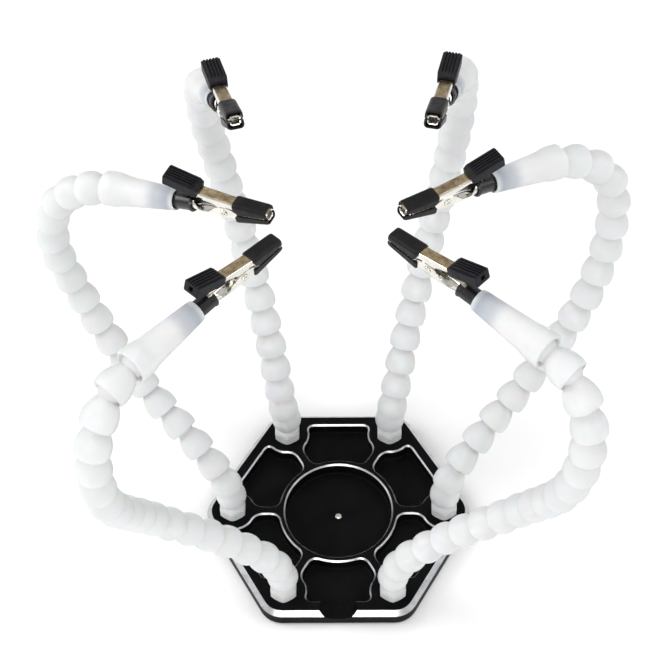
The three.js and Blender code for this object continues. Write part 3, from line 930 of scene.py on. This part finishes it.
def grip():
    """The finger grip on the lever: ribs along its top, a sloping front and a square hole in its end."""
    wide = GRIP_HALF_WIDTH
    section = [(-wide, 0), (-wide, -1.3), (-3.9, -1.7), (-3.6, -1.8)]
    section += [(3.6, -1.8), (3.9, -1.7), (wide, -1.3), (wide, 0)]
    section += [(wide, 3.0), (4.05, 3.3), (3.75, RIB_GROOVE)]
    for k in range(GRIP_RIBS):
        middle = ((GRIP_RIBS - 1) / 2 - k) * RIB_PITCH
        section += [(middle + RIB_HALF_FOOT, RIB_GROOVE), (middle + RIB_HALF_CREST, RIB_TOP)]
        section += [(middle - RIB_HALF_CREST, RIB_TOP), (middle - RIB_HALF_FOOT, RIB_GROOVE)]
    section += [(-3.75, RIB_GROOVE), (-4.05, 3.3), (-wide, 3.0)]
    # Along the grip: the place, how far the sides come in there and the greatest height.
    stages = [(0, 0.45, 3.4), (0.45, 0, 3.9), (1.0, 0, RIB_TOP), (13.4, 0, RIB_TOP), (15.2, 0, 3.5),
              (17, 0.35, 2.2)]
    rings = []
    for x, inset, ceiling in stages:
        shrink = 1 - inset / wide
        heights = [min(GRIP_MIDDLE + (z - GRIP_MIDDLE) * shrink, ceiling) for _, z in section]
        rings.append([(x, y * shrink, height) for (y, _), height in zip(section, heights)])
    body = make_mesh("grip_body", loft(rings, capped=True))
    lever_slot = box((2.2, -3.2, -0.95), (18, 3.2, 0.95))
    end_hole = box((-1, -1.15, -0.1), (6, 1.15, 2.2))
    return cut(cut(body, lever_slot), end_hole)


GRIP_FRAME = (
    Matrix.Translation(GRIP_ORIGIN)
    @ Matrix.Rotation(LEVER_SLOPE, 4, "Y")
    @ Matrix.Translation((-GRIP_OVERHANG, 0, 0))
)

# ---- building ----

LOOKS = {
    "anodised": anodised_material(),
    "cut_metal": cut_metal_material(),
    "rubber": rubber_material(),
    "frosted": frosted_material(),
    "nozzle": plug_shaded_nozzle_material(),
    "nickel": nickel_material(),
    "painted_shade_nickel": painted_shade_nickel_material(),
    "spring": spring_material(),
    "vinyl": vinyl_material(),
    "plug": plug_material(),
    "grip": grip_material(),
}


def build_base():
    piece("base_plate_finish", base_plate(), "stand", "anodised", stands_for=["base_plate"])
    pad = finished(make_mesh("foot_pad_finish", foot_pad()), [LOOKS["rubber"]])
    piece("foot_pad_finish", pad, "stand", "rubber", stands_for=["foot_pad"])
    screw = finished(centre_screw(), [LOOKS["nickel"]])
    piece("centre_screw_finish", screw, "stand", "nickel_steel", stands_for=["centre_screw"])


def build_arms():
    """Each arm's pieces. Pieces that are alike share one mesh."""
    shared = {
        "fitting": finished(make_mesh("fitting", fitting()), [LOOKS["frosted"]], sharp=18),
        "nozzle": finished(make_mesh("nozzle", nozzle()), [LOOKS["nozzle"]]),
        "plug": finished(plug(), [LOOKS["plug"]]),
        "fixed_jaw": finished(fixed_jaw(), [LOOKS["nickel"]]),
        "moving_jaw": moving_jaw(),
        "rivet": finished(make_mesh("rivet", rivet()), [LOOKS["nickel"]]),
        "fixed_sleeve": finished(fixed_sleeve(), [LOOKS["vinyl"]], sharp=40),
        "moving_sleeve": finished(moving_sleeve(), [LOOKS["vinyl"]], sharp=40),
        "grip": finished(grip(), [LOOKS["grip"]], sharp=25),
    }
    for name, (boss, route, reach) in ARMS.items():
        centres = ball_centres(boss, route, reach)
        end_ball = centres[BEADS]
        direction = (Vector(reach) - end_ball).normalized()
        clip = clip_frame(end_ball + direction * NOZZLE_LENGTH, direction)
        foot = Matrix.Translation((centres[0].x, centres[0].y, 0))
        runs = {"hose_lower": (0, LOWER_BEADS), "hose_upper": (LOWER_BEADS, BEADS)}
        for run, (first, last) in runs.items():
            node = f"{run}_{name}"
            beads = finished(make_mesh(node, hose_run(centres, first, last)), [LOOKS["frosted"]])
            piece(f"{node}_beads", beads, node, "frosted_plastic", stands_for=[node])
        parts = [
            ("fitting", "stand", "frosted_plastic", foot, "fitting"),
            ("nozzle", f"nozzle_{name}", "frosted_plastic", frame_along(end_ball, direction), "nozzle"),
            ("plug", f"clip_{name}", "black_vinyl", clip, "fixed_jaw"),
            ("fixed_jaw", f"clip_{name}", "nickel_steel", clip, "fixed_jaw"),
            ("rivet", f"clip_{name}", "nickel_steel", clip, "fixed_jaw"),
            ("fixed_sleeve", f"clip_{name}", "black_vinyl", clip, "fixed_sleeve"),
            ("moving_jaw", f"lever_{name}", "nickel_steel", clip, "moving_jaw"),
            ("moving_sleeve", f"lever_{name}", "black_vinyl", clip, "moving_sleeve"),
            ("grip", f"lever_{name}", "black_vinyl", clip @ GRIP_FRAME, "tail_grip"),
        ]
        for part, body, slot, place, node in parts:
            piece(f"{part}_{name}_finish", shared[part], body, slot, place, stands_for=[f"{node}_{name}"])
        sprung_piece(name, clip)


# ---- stage, lights and camera ----

def build_stage():
    slab = box((-FLOOR_REACH, -FLOOR_REACH, -FLOOR_DEPTH), (FLOOR_REACH, FLOOR_REACH, 0))
    pale = surfaced("pale_floor", [(0.9, 0.9, 0.9), (0.93, 0.93, 0.93)], 400, (0.85, 0.95), 2, 0.02)
    floor = bpy.data.objects.new("floor", finished(make_mesh("floor", slab), [pale]))
    bpy.context.scene.collection.objects.link(floor)


def aimed(spot, target):
    return (Vector(target) - Vector(spot)).to_track_quat("-Z", "Y").to_matrix().to_4x4()


def softbox(name, spot, width, height, power):
    data = bpy.data.lights.new(name, "AREA")
    data.shape = "RECTANGLE"
    data.size, data.size_y = width, height
    data.energy = power
    made = bpy.data.objects.new(name, data)
    bpy.context.scene.collection.objects.link(made)
    made.matrix_world = Matrix.Translation(spot) @ aimed(spot, LIGHT_TARGET)


def build_lights():
    world = bpy.data.worlds.new("studio")
    world.use_nodes = True
    world.node_tree.nodes["Background"].inputs["Color"].default_value = (1, 1, 1, 1)
    world.node_tree.nodes["Background"].inputs["Strength"].default_value = WORLD_STRENGTH
    bpy.context.scene.world = world
    for name, settings in SOFTBOXES.items():
        softbox(name, *settings)


def build_camera():
    """A view from in front and well above, very slightly rolled."""
    target = Vector(CAMERA_TARGET)
    spot = target + Vector(CAMERA_BACK).normalized() * CAMERA_DISTANCE
    data = bpy.data.cameras.new("camera")
    data.lens = CAMERA_LENS
    data.sensor_width = CAMERA_SENSOR
    made = bpy.data.objects.new("camera", data)
    bpy.context.scene.collection.objects.link(made)
    roll = Matrix.Rotation(math.radians(CAMERA_ROLL), 4, "Z")
    made.matrix_world = Matrix.Translation(spot) @ aimed(spot, target) @ roll
    bpy.context.scene.camera = made


build_base()
build_arms()
build_stage()
build_lights()
build_camera()
bpy.context.scene.view_settings.view_transform = "Standard"
bpy.context.view_layer.update()
